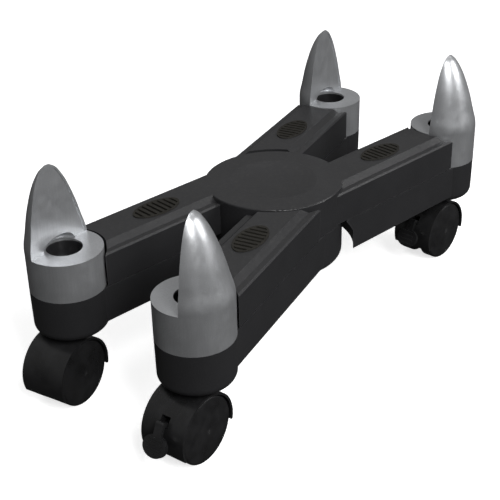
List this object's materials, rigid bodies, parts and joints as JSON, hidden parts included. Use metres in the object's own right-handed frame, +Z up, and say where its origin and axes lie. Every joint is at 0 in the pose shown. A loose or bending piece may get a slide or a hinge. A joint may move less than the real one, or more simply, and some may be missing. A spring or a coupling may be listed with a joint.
{
  "type": "cpu holder",
  "caption": "Rolling computer stand with two crossed arms on a centre pivot, silver fin posts that hug the case, and twin-wheel casters.",
  "frame": {"origin": "on the floor, under the middle of the footprint", "axes": "+Z up; +Y along the computer, towards the rear; +X to the right seen from the front"},
  "size_m": [0.136, 0.3372, 0.1448],
  "materials": {
    "silver_finish": "satin silver metallic lacquer on plastic",
    "black_plastic": "fine matte moulded texture",
    "caster_nylon": "semi-gloss black nylon",
    "pad_rubber": "ribbed soft rubber",
    "steel": "zinc plated",
    "white_plastic": "natural acetal",
    "brass": "turned"
  },
  "bodies": {
    "lower_arm": {"lower_arm_housing": "black_plastic", "lower_arm_front_cover": "black_plastic", "lower_arm_rear_cover": "black_plastic", "lower_arm_housing_screws": "steel", "lower_arm_cap_washers": "steel", "lower_arm_cap_screws": "steel", "pivot_bush": "white_plastic", "pivot_thrust_washer": "white_plastic", "pad_front_right": "pad_rubber", "pad_rear_left": "pad_rubber", "caster_front_right_stem": "steel", "caster_front_right_sleeve": "steel", "caster_rear_left_stem": "steel", "caster_rear_left_sleeve": "steel"},
    "upper_arm": {"upper_arm_cover": "black_plastic", "upper_arm_front_housing": "black_plastic", "upper_arm_rear_housing": "black_plastic", "upper_arm_housing_screws": "steel", "upper_arm_cap_washers": "steel", "upper_arm_cap_screws": "steel", "pivot_bolt": "steel", "pivot_insert": "brass", "pivot_washer": "steel", "pivot_spring_washer": "steel", "pad_front_left": "pad_rubber", "pad_rear_right": "pad_rubber", "caster_front_left_stem": "steel", "caster_front_left_sleeve": "steel", "caster_rear_right_stem": "steel", "caster_rear_right_sleeve": "steel"},
    "cap_front_left": {"cap_front_left": "silver_finish"},
    "cap_front_right": {"cap_front_right": "silver_finish"},
    "cap_rear_left": {"cap_rear_left": "silver_finish"},
    "cap_rear_right": {"cap_rear_right": "silver_finish"},
    "caster_front_left": {"caster_front_left_hood": "caster_nylon", "caster_front_left_axle": "steel"},
    "caster_front_left_right_wheel": {"caster_front_left_right_wheel": "caster_nylon"},
    "caster_front_left_left_wheel": {"caster_front_left_left_wheel": "caster_nylon"},
    "caster_front_right": {"caster_front_right_hood": "caster_nylon", "caster_front_right_axle": "steel"},
    "caster_front_right_right_wheel": {"caster_front_right_right_wheel": "caster_nylon"},
    "caster_front_right_left_wheel": {"caster_front_right_left_wheel": "caster_nylon"},
    "caster_front_right_brake_lever": {"caster_front_right_brake_lever": "caster_nylon", "caster_front_right_brake_cam": "steel"},
    "caster_rear_left": {"caster_rear_left_hood": "caster_nylon", "caster_rear_left_axle": "steel"},
    "caster_rear_left_right_wheel": {"caster_rear_left_right_wheel": "caster_nylon"},
    "caster_rear_left_left_wheel": {"caster_rear_left_left_wheel": "caster_nylon"},
    "caster_rear_right": {"caster_rear_right_hood": "caster_nylon", "caster_rear_right_axle": "steel"},
    "caster_rear_right_right_wheel": {"caster_rear_right_right_wheel": "caster_nylon"},
    "caster_rear_right_left_wheel": {"caster_rear_right_left_wheel": "caster_nylon"},
    "caster_rear_right_brake_lever": {"caster_rear_right_brake_lever": "caster_nylon", "caster_rear_right_brake_cam": "steel"}
  },
  "joints": [
    {"name": "arms_cross", "type": "hinge", "parent": "lower_arm", "child": "upper_arm", "pos_m": [0, 0.0115, 0.0944], "axis": [0, 0, 1], "range_deg": [-32, 8]},
    {"name": "cap_front_left_turn", "type": "hinge", "parent": "upper_arm", "child": "cap_front_left", "pos_m": [-0.046, -0.1255, 0.08], "axis": [0, 0, 1], "range_deg": [-60, 60]},
    {"name": "cap_front_right_turn", "type": "hinge", "parent": "lower_arm", "child": "cap_front_right", "pos_m": [0.046, -0.1255, 0.08], "axis": [0, 0, 1], "range_deg": [-60, 60]},
    {"name": "cap_rear_left_turn", "type": "hinge", "parent": "lower_arm", "child": "cap_rear_left", "pos_m": [-0.046, 0.1485, 0.08], "axis": [0, 0, 1], "range_deg": [-60, 60]},
    {"name": "cap_rear_right_turn", "type": "hinge", "parent": "upper_arm", "child": "cap_rear_right", "pos_m": [0.046, 0.1485, 0.08], "axis": [0, 0, 1], "range_deg": [-60, 60]},
    {"name": "caster_front_left_swivel", "type": "hinge", "parent": "upper_arm", "child": "caster_front_left", "pos_m": [-0.046, -0.1255, 0.04], "axis": [0, 0, 1], "continuous": true},
    {"name": "caster_front_left_right_wheel_spin", "type": "hinge", "parent": "caster_front_left", "child": "caster_front_left_right_wheel", "pos_m": [-0.04492, -0.13574, 0.02], "axis": [0.9945, 0.1045, 0], "continuous": true},
    {"name": "caster_front_left_left_wheel_spin", "type": "hinge", "parent": "caster_front_left", "child": "caster_front_left_left_wheel", "pos_m": [-0.04492, -0.13574, 0.02], "axis": [0.9945, 0.1045, 0], "continuous": true},
    {"name": "caster_front_right_swivel", "type": "hinge", "parent": "lower_arm", "child": "caster_front_right", "pos_m": [0.046, -0.1255, 0.04], "axis": [0, 0, 1], "continuous": true},
    {"name": "caster_front_right_right_wheel_spin", "type": "hinge", "parent": "caster_front_right", "child": "caster_front_right_right_wheel", "pos_m": [0.046, -0.1358, 0.02], "axis": [1, 0, 0], "continuous": true},
    {"name": "caster_front_right_left_wheel_spin", "type": "hinge", "parent": "caster_front_right", "child": "caster_front_right_left_wheel", "pos_m": [0.046, -0.1358, 0.02], "axis": [1, 0, 0], "continuous": true},
    {"name": "caster_front_right_brake", "type": "hinge", "parent": "caster_front_right", "child": "caster_front_right_brake_lever", "pos_m": [0.046, -0.1474, 0.0258], "axis": [-1, 0, 0], "range_deg": [0, 18]},
    {"name": "caster_rear_left_swivel", "type": "hinge", "parent": "lower_arm", "child": "caster_rear_left", "pos_m": [-0.046, 0.1485, 0.04], "axis": [0, 0, 1], "continuous": true},
    {"name": "caster_rear_left_right_wheel_spin", "type": "hinge", "parent": "caster_rear_left", "child": "caster_rear_left_right_wheel", "pos_m": [-0.04528, 0.13822, 0.02], "axis": [0.9976, 0.0698, 0], "continuous": true},
    {"name": "caster_rear_left_left_wheel_spin", "type": "hinge", "parent": "caster_rear_left", "child": "caster_rear_left_left_wheel", "pos_m": [-0.04528, 0.13822, 0.02], "axis": [0.9976, 0.0698, 0], "continuous": true},
    {"name": "caster_rear_right_swivel", "type": "hinge", "parent": "upper_arm", "child": "caster_rear_right", "pos_m": [0.046, 0.1485, 0.04], "axis": [0, 0, 1], "continuous": true},
    {"name": "caster_rear_right_right_wheel_spin", "type": "hinge", "parent": "caster_rear_right", "child": "caster_rear_right_right_wheel", "pos_m": [0.04514, 0.13824, 0.02], "axis": [0.9965, -0.0837, 0], "continuous": true},
    {"name": "caster_rear_right_left_wheel_spin", "type": "hinge", "parent": "caster_rear_right", "child": "caster_rear_right_left_wheel", "pos_m": [0.04514, 0.13824, 0.02], "axis": [0.9965, -0.0837, 0], "continuous": true},
    {"name": "caster_rear_right_brake", "type": "hinge", "parent": "caster_rear_right", "child": "caster_rear_right_brake_lever", "pos_m": [0.04417, 0.12668, 0.0258], "axis": [-0.9965, 0.0837, 0], "range_deg": [0, 18]}
  ]
}
